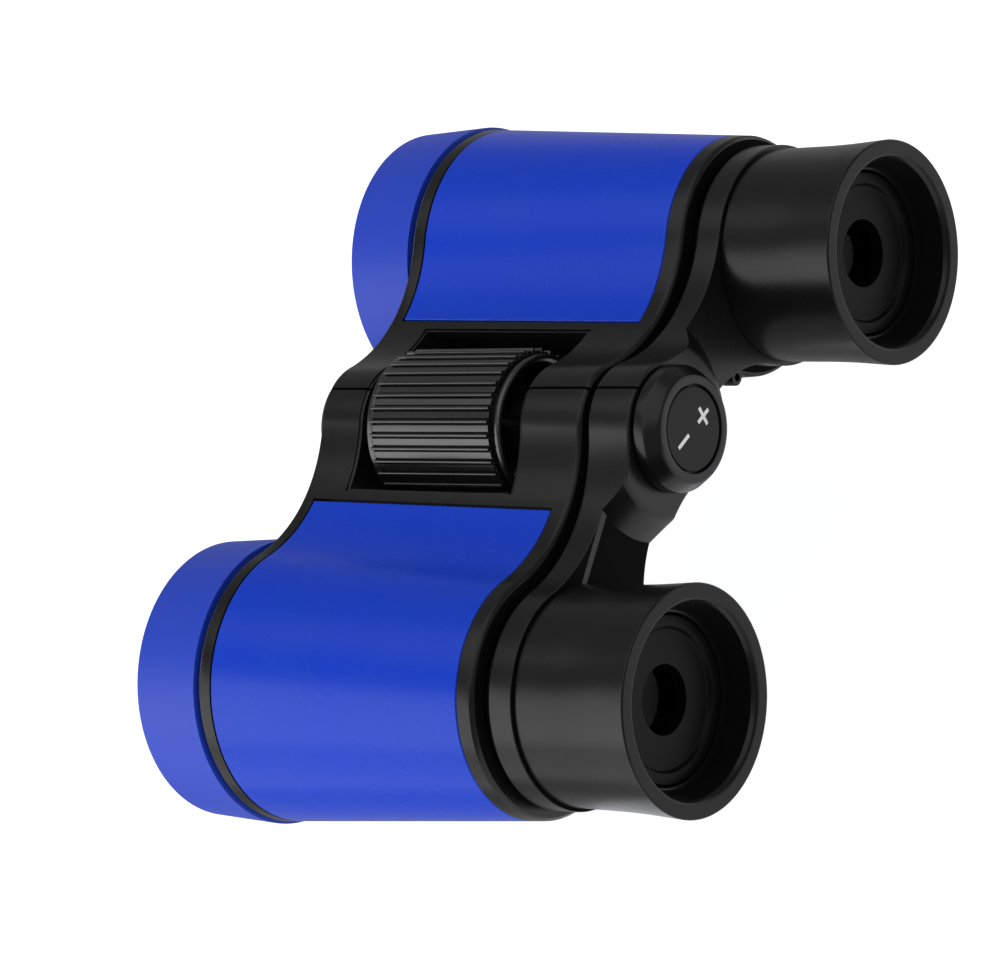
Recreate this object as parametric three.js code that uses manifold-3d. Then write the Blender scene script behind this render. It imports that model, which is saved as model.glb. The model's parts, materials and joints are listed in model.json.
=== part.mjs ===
// Compact 4 x 30 Galilean binoculars: two barrels on a centre hinge, a focus wheel in a window
// between them, and an eyepiece bridge that the wheel drives along the hinge axis.
//
// Millimetres. X runs to the user's right, Y forward along the line of sight and Z up.
// Inside the group the hinge axis is the Y axis, and y is measured from the eyecup rims.

import * as THREE from "three";
import { mergeVertices } from "three/addons/utils/BufferGeometryUtils.js";
import Module from "manifold-3d";

const wasm = await Module();
wasm.setup();

// ---- Driving dimensions ---------------------------------------------------------------------

const LENGTH = 76; // eyecup rim to front ring
const BARREL_X = 34; // half the eye spacing, hinge fully open
const BARREL_DROP = 8.6; // barrel axis below the hinge axis
const HINGE_R = 8.5; // outside of the hinge knuckles
const GAP = 0.3; // clearance between neighbouring pieces

const UPPER_HOLLOW_R = 20; // hollow of the wing between hinge and barrel, seen from above
const LOWER_HOLLOW_R = 16; // the same from below
const SLIT = 0.2; // half the slit between the halves, on top of the hinge
const UNDERCUT_DEG = 26; // half the free angle under the hinge

const BODY_BACK = 21.9;
const BODY_FRONT = 65.1;
const BODY_BACK_R = 15.5;
const BODY_FRONT_R = 17.95;

const WINDOW_BACK = 31.6;
const WINDOW_FRONT = 57.9;
const WINDOW_X = 12.6; // half width

const PANEL_BACK = 24.4;
const PANEL_FRONT = 62.9;
const PANEL_THICK = 1;
const PANEL_INNER_X = 14.6; // where the panel starts on the wing
const PANEL_END_DEG = -130; // where it ends under the barrel, from the outward direction

const RING_R = 18.3;
const RING_FRONT_R = 17.75;
const HOOD_R = 15.6;
const LENS_R = 15; // 30 mm objective

const ARM_BACK = 17.05;
const ARM_FRONT = 20.9;
const ARM_RING_R = 14.15;
const BOSS_BACK = 14.3;
const BOSS_BACK_R = 11;
const BOSS_FOOT_R = 14.1;

const DRAW_TUBE_R = 12.5;
const DRAW_TUBE_FRONT = 40;
const SPIGOT_R = 12.3; // stub that carries the eyecup

const RIM_R = 14.2;
const CUP_R = 13.62;
const RIM_INNER_R = 12.25;
const CUP_BORE_R = 11.8;
const CUP_DEPTH = 4.2;

const OCULAR_R = 5.8;
const EYE_HOLE_R = 4.3;

const WHEEL_R = 10.2; // over the ribs
const WHEEL_BACK = 34.2;
const WHEEL_FRONT = 55.9;
const WHEEL_RIBS = 36;
const SPINDLE_R = 2.7;
const KNUCKLE_R = 6.9; // inner knuckles
const PAST = 1; // how far a cutting solid runs past the face that it cuts

const ROUND = 32; // facets round a barrel
const FINE = 16; // facets round a small piece
const BARREL_STEPS = 26; // along the barrel's part of an outline
const HOLLOW_STEPS = 8;
const CROWN_STEPS = 5; // over the top of the hinge
const WING_STEPS = 5; // along a panel's part of the wing

// ---- Colours --------------------------------------------------------------------------------

const finish = (color, roughness, metalness) => ({ color, roughness, metalness });
const BLUE = finish(0x1c2bb8, 0.45, 0);
const BLACK = finish(0x141415, 0.4, 0);
const SATIN = finish(0x1a1a1b, 0.55, 0);
const RUBBER = finish(0x0d0d0d, 0.85, 0);
const STEEL = finish(0x9a9da0, 0.35, 1);
const BRASS = finish(0xb08d4a, 0.35, 1);
const GLASS = finish(0xcfd8e0, 0.05, 0);

// ---- Solids ---------------------------------------------------------------------------------

function solidOf(geometry) {
  const bare = new THREE.BufferGeometry();
  bare.setAttribute("position", geometry.getAttribute("position"));
  bare.setIndex(geometry.index);
  const merged = mergeVertices(bare, 1e-4);
  const index = Array.from(merged.index.array);
  const faces = index.flatMap((a, i) => (i % 3 ? [] : [[a, index[i + 1], index[i + 2]]]));
  const whole = faces.filter(([a, b, c]) => a !== b && b !== c && c !== a);
  return new wasm.Manifold(
    new wasm.Mesh({
      numProp: 3,
      vertProperties: merged.attributes.position.array,
      triVerts: new Uint32Array(whole.flat()),
    }),
  );
}

function geometryOf(solid) {
  const { vertProperties, triVerts } = solid.getMesh();
  const geometry = new THREE.BufferGeometry();
  geometry.setAttribute("position", new THREE.BufferAttribute(vertProperties, 3));
  geometry.setIndex(new THREE.BufferAttribute(triVerts, 1));
  geometry.computeVertexNormals();
  return geometry;
}

const signedArea = (points) => THREE.ShapeUtils.area(points.map(([x, y]) => ({ x, y })));

// A solid of revolution about Y from a closed profile of [radius, y] points.
function turned(profile, facets = FINE) {
  const ordered = signedArea(profile) > 0 ? profile : [...profile].reverse();
  const start = ordered.findIndex(([r], i) => r === 0 && ordered.at(i - 1)[0] === 0);
  const fromAxis = [...ordered.slice(start), ...ordered.slice(0, start)];
  const run = start < 0 ? [...ordered, ordered[0]] : fromAxis;
  return solidOf(new THREE.LatheGeometry(run.map(([r, y]) => new THREE.Vector2(r, y)), facets));
}

const tube = (outer, inner, back, front, facets) =>
  turned([[inner, back], [outer, back], [outer, front], [inner, front]], facets);

const rod = (r, back, front, facets) => tube(r, 0, back, front, facets);

// A solid between two outlines of [x, z] points, with as many points each.
function loft(backOutline, frontOutline, back, front) {
  const turnedRound = signedArea(backOutline) > 0;
  const backPoints = turnedRound ? [...backOutline].reverse() : backOutline;
  const frontPoints = turnedRound ? [...frontOutline].reverse() : frontOutline;
  const count = backPoints.length;
  const flat = backPoints.map(([x, z]) => new THREE.Vector2(x, z));
  const index = [];
  for (const [a, b, c] of THREE.ShapeUtils.triangulateShape(flat, [])) {
    index.push(a, b, c, c + count, b + count, a + count);
  }
  for (let i = 0; i < count; i++) {
    const next = (i + 1) % count;
    index.push(i, next, next + count, i, next + count, i + count);
  }
  const positions = [
    ...backPoints.flatMap(([x, z]) => [x, back, z]),
    ...frontPoints.flatMap(([x, z]) => [x, front, z]),
  ];
  const geometry = new THREE.BufferGeometry();
  geometry.setAttribute("position", new THREE.Float32BufferAttribute(positions, 3));
  geometry.setIndex(index);
  return solidOf(geometry);
}

const prism = (outline, back, front) => loft(outline, outline, back, front);

function block(x0, x1, y0, y1, z0, z1) {
  const geometry = new THREE.BoxGeometry(x1 - x0, y1 - y0, z1 - z0);
  geometry.translate((x0 + x1) / 2, (y0 + y1) / 2, (z0 + z1) / 2);
  return solidOf(geometry);
}

// ---- Outlines of one half, seen from behind -------------------------------------------------

const radians = THREE.MathUtils.degToRad;
const polar = (cx, cz, r, angle) => [cx + r * Math.cos(angle), cz + r * Math.sin(angle)];

function arc(cx, cz, r, from, to, steps) {
  return Array.from({ length: steps + 1 }, (_, i) =>
    polar(cx, cz, r, from + ((to - from) * i) / steps),
  );
}

const barrelArc = (r, from, to) => arc(BARREL_X, -BARREL_DROP, r, from, to, BARREL_STEPS);

// Centre of the hollow that touches the hinge circle and the barrel circle of the right half.
function hollowCentre(barrelR, hollowR, up) {
  const span = Math.hypot(BARREL_X, BARREL_DROP);
  const toHinge = HINGE_R + hollowR;
  const toBarrel = barrelR + hollowR;
  const along = (toHinge ** 2 - toBarrel ** 2 + span ** 2) / (2 * span);
  const across = up * Math.sqrt(toHinge ** 2 - along ** 2);
  const [ux, uz] = [BARREL_X / span, -BARREL_DROP / span];
  return [along * ux - across * uz, along * uz + across * ux];
}

// The run from the top of the hinge over the wing to the barrel, inset below the surface.
function hollowRun(barrelR, hollowR, up, inset) {
  const [cx, cz] = hollowCentre(barrelR, hollowR, up);
  const hingeAngle = Math.atan2(cz, cx);
  const barrelAngle = Math.atan2(cz + BARREL_DROP, cx - BARREL_X);
  const from = Math.atan2(-cz, -cx);
  const to = Math.atan2(-BARREL_DROP - cz, BARREL_X - cx);
  return { points: arc(cx, cz, hollowR + inset, from, to, HOLLOW_STEPS), hingeAngle, barrelAngle };
}

// Hinge sector, wing and barrel as one outline. side is 1 for the right half, -1 for the left.
function halfOutline(side, barrelR) {
  const top = hollowRun(barrelR, UPPER_HOLLOW_R, 1, 0);
  const bottom = hollowRun(barrelR, LOWER_HOLLOW_R, -1, 0);
  const outline = [
    [0, 0],
    ...arc(0, 0, HINGE_R, Math.PI / 2, top.hingeAngle, CROWN_STEPS),
    ...top.points.slice(1),
    ...barrelArc(barrelR, top.barrelAngle, bottom.barrelAngle).slice(1),
    ...bottom.points.reverse().slice(1),
  ];
  return outline.map(([x, z]) => [x * side, z]);
}

// The skin over the wing and round the barrel, between two depths below the surface.
function skinOutline(side, barrelR, outset, depth, innerX, endDeg) {
  const run = (inset) => {
    const { points, barrelAngle } = hollowRun(barrelR, UPPER_HOLLOW_R, 1, inset);
    const wing = resampleFromX(points, innerX, WING_STEPS);
    return [...wing, ...barrelArc(barrelR - inset, barrelAngle, radians(endDeg)).slice(1)];
  };
  const outline = [...run(-outset), ...run(depth).reverse()];
  return outline.map(([x, z]) => [x * side, z]);
}

// The part of a run of points beyond x, at even steps of x.
function resampleFromX(points, fromX, steps) {
  const lastX = points.at(-1)[0];
  return Array.from({ length: steps + 1 }, (_, i) => {
    const x = fromX + ((lastX - fromX) * i) / steps;
    const k = Math.max(1, points.findIndex((p) => p[0] >= x - 1e-9));
    const [[x0, z0], [x1, z1]] = [points[k - 1], points[k]];
    return [x, z0 + ((z1 - z0) * (x - x0)) / (x1 - x0)];
  });
}

const bodyRadius = (y) =>
  BODY_BACK_R + ((BODY_FRONT_R - BODY_BACK_R) * (y - BODY_BACK)) / (BODY_FRONT - BODY_BACK);

// ---- The halves of the hinge ----------------------------------------------------------------

const REACH = 40; // past the outline in any direction

// What both halves leave free: the slit on top of the hinge and the angle below it.
function hingeFree(side, back, front) {
  const edge = radians(-90 + UNDERCUT_DEG);
  const far = radians(-90 - UNDERCUT_DEG);
  const wedge = [[0, 0], polar(0, 0, REACH, edge), polar(0, 0, REACH, far)];
  const [inner, outer] = side > 0 ? [-REACH, SLIT] : [-SLIT, REACH];
  return prism(wedge.map(([x, z]) => [x * side, z]), back, front)
    .add(block(inner, outer, back, front, 0, REACH));
}

// Own inner knuckle over one stretch and room for the neighbour's over the other.
function withKnuckles(half, side, stretches, boreR) {
  let out = half;
  for (const { own, back, front } of stretches) {
    out = own === side
      ? out.add(rod(KNUCKLE_R, back, front))
      : out.subtract(rod(KNUCKLE_R + GAP, back - GAP, front + GAP));
  }
  const [first, last] = [stretches[0], stretches.at(-1)];
  return out.subtract(rod(boreR, first.back - PAST, last.front + PAST));
}

const BUSH_R = 4.6;
const PIN_R = 3.2;
const PIN_HEAD_R = 4.6;
const PIN_HEAD_BACK = BODY_FRONT - 1.7;
const REAR_SPLIT = (BODY_BACK + WINDOW_BACK) / 2;
const FRONT_SPLIT = (BODY_FRONT + WINDOW_FRONT) / 2;
const ARM_SPLIT = (BOSS_BACK + ARM_FRONT) / 2;

function bodyHinge(half, side) {
  const rear = [
    { own: -1, back: BODY_BACK, front: REAR_SPLIT - GAP / 2 },
    { own: 1, back: REAR_SPLIT + GAP / 2, front: WINDOW_BACK },
  ];
  const front = [
    { own: 1, back: WINDOW_FRONT, front: FRONT_SPLIT - GAP / 2 },
    { own: -1, back: FRONT_SPLIT + GAP / 2, front: BODY_FRONT },
  ];
  const withRear = withKnuckles(half, side, rear, BUSH_R + GAP);
  return withKnuckles(withRear, side, front, PIN_R + GAP)
    .subtract(rod(PIN_HEAD_R + GAP, PIN_HEAD_BACK - GAP, BODY_FRONT + PAST));
}

// ---- Barrel parts ---------------------------------------------------------------------------

function onBarrel(solid, side) {
  const geometry = geometryOf(solid);
  geometry.translate(side * BARREL_X, 0, -BARREL_DROP);
  return solidOf(geometry);
}

const CHAMBER_BACK = 25;
const CHAMBER_BACK_R = 13;
const CHAMBER_FRONT_R = 14.9;
const SOCKET_BACK = 59.5;
const SOCKET_R = 15.45;
const SEAL_BACK = 22.9;
const SEAL_FRONT = 24.1;
const SEAL_R = 13.4;

// Hollow of the barrel: guide for the draw tube, seal groove, chamber and ring socket.
function barrelHollow() {
  const guide = DRAW_TUBE_R + GAP;
  return turned(
    [
      [0, BODY_BACK - PAST],
      [guide, BODY_BACK - PAST],
      [guide, SEAL_BACK - GAP / 2],
      [SEAL_R + GAP, SEAL_BACK - GAP / 2],
      [SEAL_R + GAP, SEAL_FRONT + GAP / 2],
      [guide, SEAL_FRONT + GAP / 2],
      [CHAMBER_BACK_R, CHAMBER_BACK],
      [CHAMBER_FRONT_R, SOCKET_BACK],
      [SOCKET_R, SOCKET_BACK],
      [SOCKET_R, BODY_FRONT + PAST],
      [0, BODY_FRONT + PAST],
    ],
    ROUND,
  );
}

const LUG_ANGLE = radians(204); // place round the barrel, from the outward direction
const LUG_HALF_ANGLE = radians(6);
const LUG_HOLE_R = 0.55;
const LUG_WALL = 0.55;
const LUG_REACH = 0.5; // from the body's surface to the middle of the hole
const LUG_ROOT = 1; // how deep the lug starts in the body
const LUG_BACK = BODY_BACK + 0.2;
const LUG_FRONT = BODY_BACK + 2.4;

// Eye for a neck cord under the barrel, next to the eyepiece.
function strapLug(side) {
  const [x, z] = polar(0, 0, BODY_BACK_R + LUG_REACH, LUG_ANGLE);
  const quarter = Math.PI / 2;
  const eye = arc(x, z, LUG_HOLE_R + LUG_WALL, LUG_ANGLE - quarter, LUG_ANGLE + quarter, 12);
  const root = [LUG_ANGLE + LUG_HALF_ANGLE, LUG_ANGLE - LUG_HALF_ANGLE];
  const outline = [...eye, ...root.map((angle) => polar(0, 0, BODY_BACK_R - LUG_ROOT, angle))];
  const hole = arc(x, z, LUG_HOLE_R, 0, 2 * Math.PI, 16).slice(1);
  const mirrored = (points) => points.map(([px, pz]) => [px * side, pz]);
  return {
    tab: onBarrel(prism(mirrored(outline), LUG_BACK, LUG_FRONT), side),
    hole: onBarrel(prism(mirrored(hole), LUG_BACK - PAST, LUG_FRONT + PAST), side),
  };
}

// Room for the skin panel, with clearance all round.
function panelRecess(side) {
  const depth = PANEL_THICK + GAP;
  const [innerX, endDeg] = [PANEL_INNER_X - GAP, PANEL_END_DEG - 1];
  const section = (y) => skinOutline(side, bodyRadius(y), PAST, depth, innerX, endDeg);
  return loft(
    section(PANEL_BACK),
    section(PANEL_FRONT),
    PANEL_BACK - GAP / 2,
    PANEL_FRONT + GAP / 2,
  );
}

function bodyShell(side) {
  const lug = strapLug(side);
  const half = loft(
    halfOutline(side, BODY_BACK_R),
    halfOutline(side, BODY_FRONT_R),
    BODY_BACK,
    BODY_FRONT,
  )
    .subtract(hingeFree(side, BODY_BACK - PAST, BODY_FRONT + PAST))
    .subtract(block(-WINDOW_X, WINDOW_X, WINDOW_BACK, WINDOW_FRONT, -REACH, REACH));
  return bodyHinge(half, side)
    .add(lug.tab)
    .subtract(lug.hole)
    .subtract(panelRecess(side))
    .subtract(onBarrel(barrelHollow(), side));
}

const skinPanel = (side) =>
  loft(
    skinOutline(side, bodyRadius(PANEL_BACK), 0, PANEL_THICK, PANEL_INNER_X, PANEL_END_DEG),
    skinOutline(side, bodyRadius(PANEL_FRONT), 0, PANEL_THICK, PANEL_INNER_X, PANEL_END_DEG),
    PANEL_BACK,
    PANEL_FRONT,
  );

const LENS_SEAT = 68.7;
const LENS_EDGE_FRONT = 71.2;
const LENS_RISE = 1.9;
const LENS_STEPS = 5; // of a lens face, from the axis to the edge
const RING_CHAMFER = 0.25;
const RETAINER_FRONT = 72.9;
const RETAINER_CHAMFER = 0.5;
const RING_BORE_R = 13.9;
const RING_BACK = BODY_FRONT + GAP;
const POCKET_R = LENS_R + GAP;

const frontRing = () =>
  turned(
    [
      [RING_BORE_R, SOCKET_BACK + GAP],
      [SOCKET_R - GAP, SOCKET_BACK + GAP],
      [SOCKET_R - GAP, RING_BACK],
      [RING_R, RING_BACK],
      [RING_FRONT_R, LENGTH - RING_CHAMFER],
      [RING_FRONT_R - RING_CHAMFER, LENGTH],
      [HOOD_R, LENGTH],
      [POCKET_R, RETAINER_FRONT + GAP],
      [POCKET_R, LENS_SEAT - GAP],
      [RING_BORE_R, LENS_SEAT - GAP],
    ],
    ROUND,
  );

// A ground face from the axis to the edge, bulging by rise towards y.
function lensFace(r, yEdge, rise) {
  const sphere = (r * r + rise * rise) / (2 * Math.abs(rise));
  return Array.from({ length: LENS_STEPS + 1 }, (_, i) => {
    const x = (r * i) / LENS_STEPS;
    const sag = sphere - Math.sqrt(sphere * sphere - x * x);
    return [x, yEdge + rise - Math.sign(rise) * sag];
  });
}

const objectiveLens = () =>
  turned([...lensFace(LENS_R, LENS_EDGE_FRONT, LENS_RISE), [LENS_R, LENS_SEAT], [0, LENS_SEAT]]);

const objectiveRetainer = () =>
  turned([
    [RING_BORE_R, LENS_EDGE_FRONT + GAP],
    [LENS_R, LENS_EDGE_FRONT + GAP],
    [LENS_R, RETAINER_FRONT],
    [RING_BORE_R + RETAINER_CHAMFER, RETAINER_FRONT],
  ]);

const SEAL_LIP_R = DRAW_TUBE_R + 0.2;
const SEAL_INNER_R = DRAW_TUBE_R + 0.5;

const drawTubeSeal = () =>
  turned([
    [SEAL_LIP_R, (SEAL_BACK + SEAL_FRONT) / 2],
    [SEAL_INNER_R, SEAL_BACK],
    [SEAL_R, SEAL_BACK],
    [SEAL_R, SEAL_FRONT],
    [SEAL_INNER_R, SEAL_FRONT],
  ], ROUND);

// ---- Eyepiece bridge ------------------------------------------------------------------------

const OCULAR_BACK = 6.9;
const OCULAR_FRONT = 9;
const RETAINER_BACK = CUP_DEPTH + 0.1;
const RETAINER_R = 10.2;
const DISH_R = 8.5; // shallow dish round the eye hole
const DISH_DEPTH = 0.55;
const DISH_EDGE = 0.35;
const EYE_LENS_HOLLOW = 0.9;
const LENS_FLAT = 0.5; // flat round the hollow
const SEAT_LEDGE = 1;
const CUP_WAIST = 7; // where the cup's flare ends
const CUP_FLARE = 0.1;
const CUP_BORE_TAPER = 0.7;
const MERGE = 0.5; // overlap of two shapes that are joined into one
const RIM_EDGE = 0.15;
const RIM_BEVEL = 0.7; // depth of the bevel inside the rim
const TUBE_WALL = 1.1;
const OCULAR_WEB = 1.6;

function eyepieceTube() {
  return turned(
    [
      [0, OCULAR_BACK],
      [SPIGOT_R, OCULAR_BACK],
      [SPIGOT_R, ARM_BACK + MERGE],
      [DRAW_TUBE_R, ARM_FRONT - MERGE],
      [DRAW_TUBE_R, DRAW_TUBE_FRONT],
      [0, DRAW_TUBE_FRONT],
    ],
    ROUND,
  );
}

function eyepieceTubeHollow() {
  const inside = SPIGOT_R - TUBE_WALL;
  const seat = OCULAR_FRONT + GAP;
  return turned(
    [
      [0, OCULAR_BACK - PAST],
      [OCULAR_R + GAP, OCULAR_BACK - PAST],
      [OCULAR_R + GAP, seat],
      [OCULAR_R - SEAT_LEDGE, seat],
      [OCULAR_R - SEAT_LEDGE, seat + OCULAR_WEB],
      [inside, seat + OCULAR_WEB],
      [inside, DRAW_TUBE_FRONT + PAST],
      [0, DRAW_TUBE_FRONT + PAST],
    ],
    ROUND,
  );
}

function eyepieceArm(side) {
  const outline = halfOutline(side, ARM_RING_R);
  const boss = turned([
    [0, BOSS_BACK],
    [BOSS_BACK_R, BOSS_BACK],
    [BOSS_FOOT_R, ARM_BACK],
    [BOSS_FOOT_R, ARM_BACK + MERGE],
    [0, ARM_BACK + MERGE],
  ]);
  const half = prism(outline, ARM_BACK, ARM_FRONT)
    .add(prism(outline, BOSS_BACK - PAST, ARM_BACK + MERGE).intersect(boss))
    .subtract(hingeFree(side, BOSS_BACK - PAST, ARM_FRONT + PAST));
  const knuckles = [
    { own: -1, back: BOSS_BACK, front: ARM_SPLIT - GAP / 2 },
    { own: 1, back: ARM_SPLIT + GAP / 2, front: ARM_FRONT },
  ];
  return withKnuckles(half, side, knuckles, SPINDLE_R + GAP)
    .add(onBarrel(eyepieceTube(), side))
    .subtract(onBarrel(eyepieceTubeHollow(), side));
}

const eyecup = () =>
  turned(
    [
      [CUP_BORE_R - CUP_BORE_TAPER, CUP_DEPTH],
      [CUP_BORE_R, RIM_BEVEL],
      [RIM_INNER_R, 0],
      [RIM_R - RIM_EDGE, 0],
      [RIM_R, RIM_EDGE],
      [CUP_R + CUP_FLARE, CUP_WAIST],
      [CUP_R, ARM_BACK - GAP],
      [SPIGOT_R + GAP, ARM_BACK - GAP],
      [SPIGOT_R + GAP, OCULAR_BACK - GAP],
      [RETAINER_R + GAP, OCULAR_BACK - GAP],
      [RETAINER_R + GAP, CUP_DEPTH],
    ],
    ROUND,
  );

const ocularRetainer = () =>
  turned([
    [EYE_HOLE_R, RETAINER_BACK + DISH_DEPTH],
    [DISH_R, RETAINER_BACK + DISH_DEPTH],
    [DISH_R + DISH_EDGE, RETAINER_BACK],
    [RETAINER_R, RETAINER_BACK],
    [RETAINER_R, OCULAR_BACK - GAP],
    [EYE_HOLE_R, OCULAR_BACK - GAP],
  ]);

// Plano-concave diverging lens, hollow towards the eye.
const ocularLens = () =>
  turned([
    ...lensFace(OCULAR_R - LENS_FLAT, OCULAR_BACK, EYE_LENS_HOLLOW),
    [OCULAR_R, OCULAR_BACK],
    [OCULAR_R, OCULAR_FRONT],
    [0, OCULAR_FRONT],
  ]);

// ---- Hinge and focus drive ------------------------------------------------------------------

const WASHER_THICK = 0.7;
const NUT_R = 5.2;
const NUT_BACK = WINDOW_BACK + WASHER_THICK + 2 * GAP;
const NUT_FRONT = WINDOW_FRONT - WASHER_THICK - 2 * GAP;
const WHEEL_BORE_R = 8.3;
const LAND_R = 9.8; // between the ribs
const REAR_RIM_R = 9.45;
const REAR_RIM_FRONT = 35.05;
const NECK_R = 8.9;
const RIBS_BACK = 35.6;
const FLANGE_BACK = 54.9;
const FLANGE_R = 9.85;
const RIB_TOP = 0.11; // half width of a rib's top, as a share of the pitch
const RIB_FOOT = 0.2;
const RIB_PHASE = 0.17; // turn of the first rib from the X axis, in pitches
const SPOKES = 3; // bars through the hub, each making two spokes
const SPOKE_HALF = 0.5;
const SPOKE_INSET = 1.8;
const WEB_HALF = 0.8;

// Round outline with straight ribs standing on it.
function ribbedOutline() {
  const step = (2 * Math.PI) / WHEEL_RIBS;
  const shoulders = [
    [-RIB_FOOT, LAND_R],
    [-RIB_TOP, WHEEL_R],
    [RIB_TOP, WHEEL_R],
    [RIB_FOOT, LAND_R],
  ];
  return Array.from({ length: WHEEL_RIBS }, (_, i) => i + RIB_PHASE).flatMap((i) =>
    shoulders.map(([share, r]) => polar(0, 0, r, (i + share) * step)),
  );
}

// A flat bar across the wheel through its axis.
function spokeBar(angle) {
  const reach = WHEEL_BORE_R + GAP;
  const half = SPOKE_HALF;
  const corners = [[-reach, -half], [reach, -half], [reach, half], [-reach, half]];
  const [c, s] = [Math.cos(angle), Math.sin(angle)];
  const outline = corners.map(([x, z]) => [x * c - z * s, x * s + z * c]);
  return prism(outline, WHEEL_BACK + SPOKE_INSET, WHEEL_FRONT - SPOKE_INSET);
}

function focusWheel() {
  const middle = (WHEEL_BACK + WHEEL_FRONT) / 2;
  let wheel = prism(ribbedOutline(), RIBS_BACK, FLANGE_BACK + MERGE)
    .add(tube(NECK_R, 0, REAR_RIM_FRONT - MERGE, RIBS_BACK + MERGE, ROUND))
    .add(tube(REAR_RIM_R, 0, WHEEL_BACK, REAR_RIM_FRONT, ROUND))
    .add(tube(FLANGE_R, 0, FLANGE_BACK, WHEEL_FRONT, ROUND))
    .subtract(rod(WHEEL_BORE_R, WHEEL_BACK - PAST, WHEEL_FRONT + PAST))
    .add(rod(NUT_R, NUT_BACK, NUT_FRONT))
    .add(rod(WHEEL_BORE_R + GAP, middle - WEB_HALF, middle + WEB_HALF));
  for (let i = 0; i < SPOKES; i++) {
    wheel = wheel.add(spokeBar((Math.PI * i) / SPOKES));
  }
  return wheel.subtract(rod(SPINDLE_R + GAP, WINDOW_BACK, WINDOW_FRONT));
}

const SPINDLE_BACK = BOSS_BACK + 1;
const SPINDLE_FRONT = 55;
const SPINDLE_CHAMFER = 0.6;
const SCREW_HOLE_DEPTH = 23;
const SCREW_R = 1.2;
const SCREW_FRONT = 22;
const SCREW_POINT = 0.6;
const SCREW_HEAD_R = 2.6;
const SCREW_HEAD_BACK = 12.5;
const SCREW_HEAD_FRONT = 13.1;
const SCREW_HEAD_CHAMFER = 0.3;
const SLOT_HALF = 0.35;
const SCREW_SLOT_REACH = 1.5;
const HUB_WASHER_R = 5.2;

const focusSpindle = () =>
  turned([
    [SCREW_R + GAP, SPINDLE_BACK],
    [SPINDLE_R, SPINDLE_BACK],
    [SPINDLE_R, SPINDLE_FRONT - SPINDLE_CHAMFER],
    [SPINDLE_R - SPINDLE_CHAMFER, SPINDLE_FRONT],
    [0, SPINDLE_FRONT],
    [0, SCREW_HOLE_DEPTH],
    [SCREW_R + GAP, SCREW_HOLE_DEPTH],
  ]);

const crossSlot = (back, front, reach) =>
  block(-reach, reach, back, front, -SLOT_HALF, SLOT_HALF).add(
    block(-SLOT_HALF, SLOT_HALF, back, front, -reach, reach),
  );

const hubScrew = () =>
  turned([
    [0, SCREW_HEAD_BACK],
    [SCREW_HEAD_R - 2 * SCREW_HEAD_CHAMFER, SCREW_HEAD_BACK],
    [SCREW_HEAD_R, SCREW_HEAD_BACK + SCREW_HEAD_CHAMFER],
    [SCREW_HEAD_R, SCREW_HEAD_FRONT],
    [SCREW_R, SCREW_HEAD_FRONT],
    [SCREW_R, SCREW_FRONT],
    [0, SCREW_FRONT + SCREW_POINT],
  ]).subtract(crossSlot(SCREW_HEAD_BACK - PAST, SCREW_HEAD_BACK + SLOT_HALF, SCREW_SLOT_REACH));

const CAP_BACK = 10.7;
const CAP_FRONT = BOSS_BACK - GAP;
const CAP_TOP_R = 6.65;
const CAP_CHAMFER = 0.25;
const CAP_RIDGE_R = 7.9; // where the sloping flank meets the short flange
const CAP_RIDGE = 12.5;
const CAP_FOOT_R = 7.95;
const CAP_INNER_R = 5.6;
const CAP_WEB_BACK = 11.65;
const CAP_WEB_FRONT = 12.25;
const DISC_R = 5.25;
const DISC_BACK = CAP_BACK + 0.15;
const DISC_FRONT = CAP_WEB_BACK - GAP;

const hubWasher = () =>
  tube(HUB_WASHER_R, SCREW_R + GAP, SCREW_HEAD_FRONT + GAP, CAP_FRONT);

const hubCap = () =>
  turned([
    [0, CAP_WEB_BACK],
    [DISC_R + GAP, CAP_WEB_BACK],
    [DISC_R + GAP, CAP_BACK],
    [CAP_TOP_R, CAP_BACK],
    [CAP_TOP_R + CAP_CHAMFER, CAP_BACK + CAP_CHAMFER],
    [CAP_RIDGE_R, CAP_RIDGE],
    [CAP_FOOT_R, CAP_FRONT],
    [CAP_INNER_R, CAP_FRONT],
    [CAP_INNER_R, CAP_WEB_FRONT],
    [0, CAP_WEB_FRONT],
  ], ROUND);

const capDisc = () =>
  turned([[0, DISC_BACK], [DISC_R, DISC_BACK], [DISC_R, DISC_FRONT], [0, DISC_FRONT]]);

const hingeBush = () => tube(BUSH_R, SPINDLE_R + GAP, BODY_BACK + GAP, WINDOW_BACK - GAP);

const PIN_CHAMFER = 0.4;
const PIN_SLOT_DEPTH = 0.5;
const PIN_SLOT_REACH = 2;
const HINGE_CAP_R = 7.5;
const HINGE_CAP_THICK = 1;
const HINGE_CAP_ROUNDING = 0.5;
const HINGE_CAP_SIDE = 0.4; // straight part of its side
const HINGE_CAP_CROWN = 0.15;

const hingePin = () =>
  turned([
    [0, WINDOW_FRONT + GAP],
    [PIN_R - PIN_CHAMFER, WINDOW_FRONT + GAP],
    [PIN_R, WINDOW_FRONT + GAP + PIN_CHAMFER],
    [PIN_R, PIN_HEAD_BACK],
    [PIN_HEAD_R, PIN_HEAD_BACK],
    [PIN_HEAD_R, BODY_FRONT - GAP],
    [0, BODY_FRONT - GAP],
  ]).subtract(crossSlot(BODY_FRONT - GAP - PIN_SLOT_DEPTH, BODY_FRONT, PIN_SLOT_REACH));

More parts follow.
